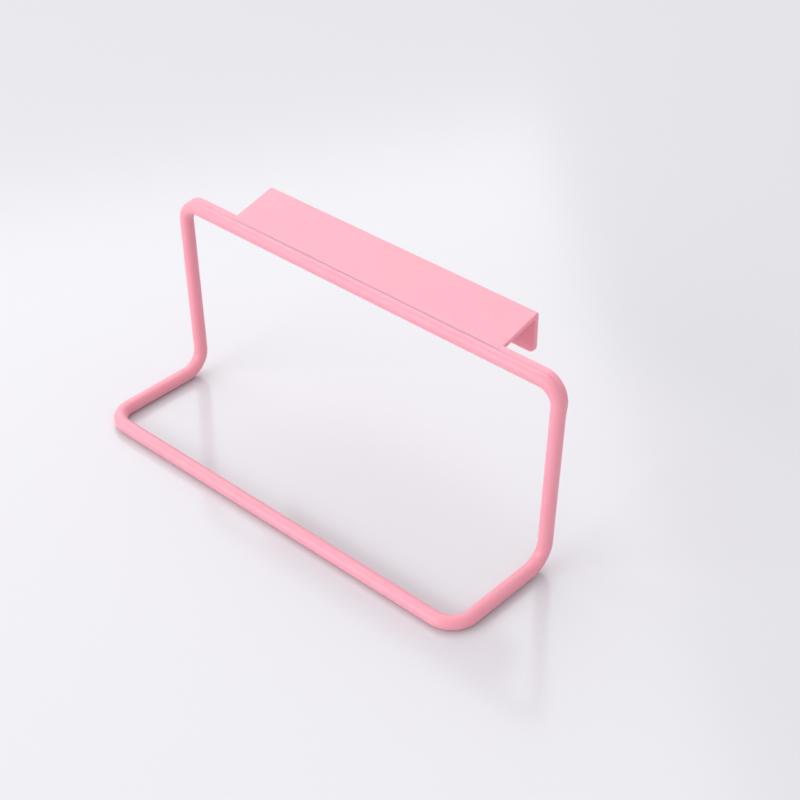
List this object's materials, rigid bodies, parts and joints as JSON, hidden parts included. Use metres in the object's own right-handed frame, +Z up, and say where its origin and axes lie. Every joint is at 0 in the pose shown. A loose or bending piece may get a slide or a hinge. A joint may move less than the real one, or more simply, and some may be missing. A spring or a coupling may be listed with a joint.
{
  "type": "over-door towel bar",
  "caption": "Moulded plastic towel bar for a cabinet door: a bent round-bar loop with a sloping hook plate and lip behind its top rail.",
  "frame": {"origin": "on the floor under the middle of the whole part, which stands on its feet and towel bar", "axes": "+Z up, +X along the rails to the right, +Y from the towel bar towards the hook's lip"},
  "size_m": [0.235, 0.0904, 0.1069],
  "materials": {
    "satin_plastic": "satin pink, moulded"
  },
  "bodies": {
    "root": {"hook_fold": "satin_plastic", "hook_lip": "satin_plastic", "hook_plate": "satin_plastic", "left_foot": "satin_plastic", "left_foot_bend": "satin_plastic", "left_front_bend": "satin_plastic", "left_top_bend": "satin_plastic", "left_upright": "satin_plastic", "right_foot": "satin_plastic", "right_foot_bend": "satin_plastic", "right_front_bend": "satin_plastic", "right_top_bend": "satin_plastic", "right_upright": "satin_plastic", "top_rail": "satin_plastic", "towel_bar": "satin_plastic"}
  },
  "joints": []
}
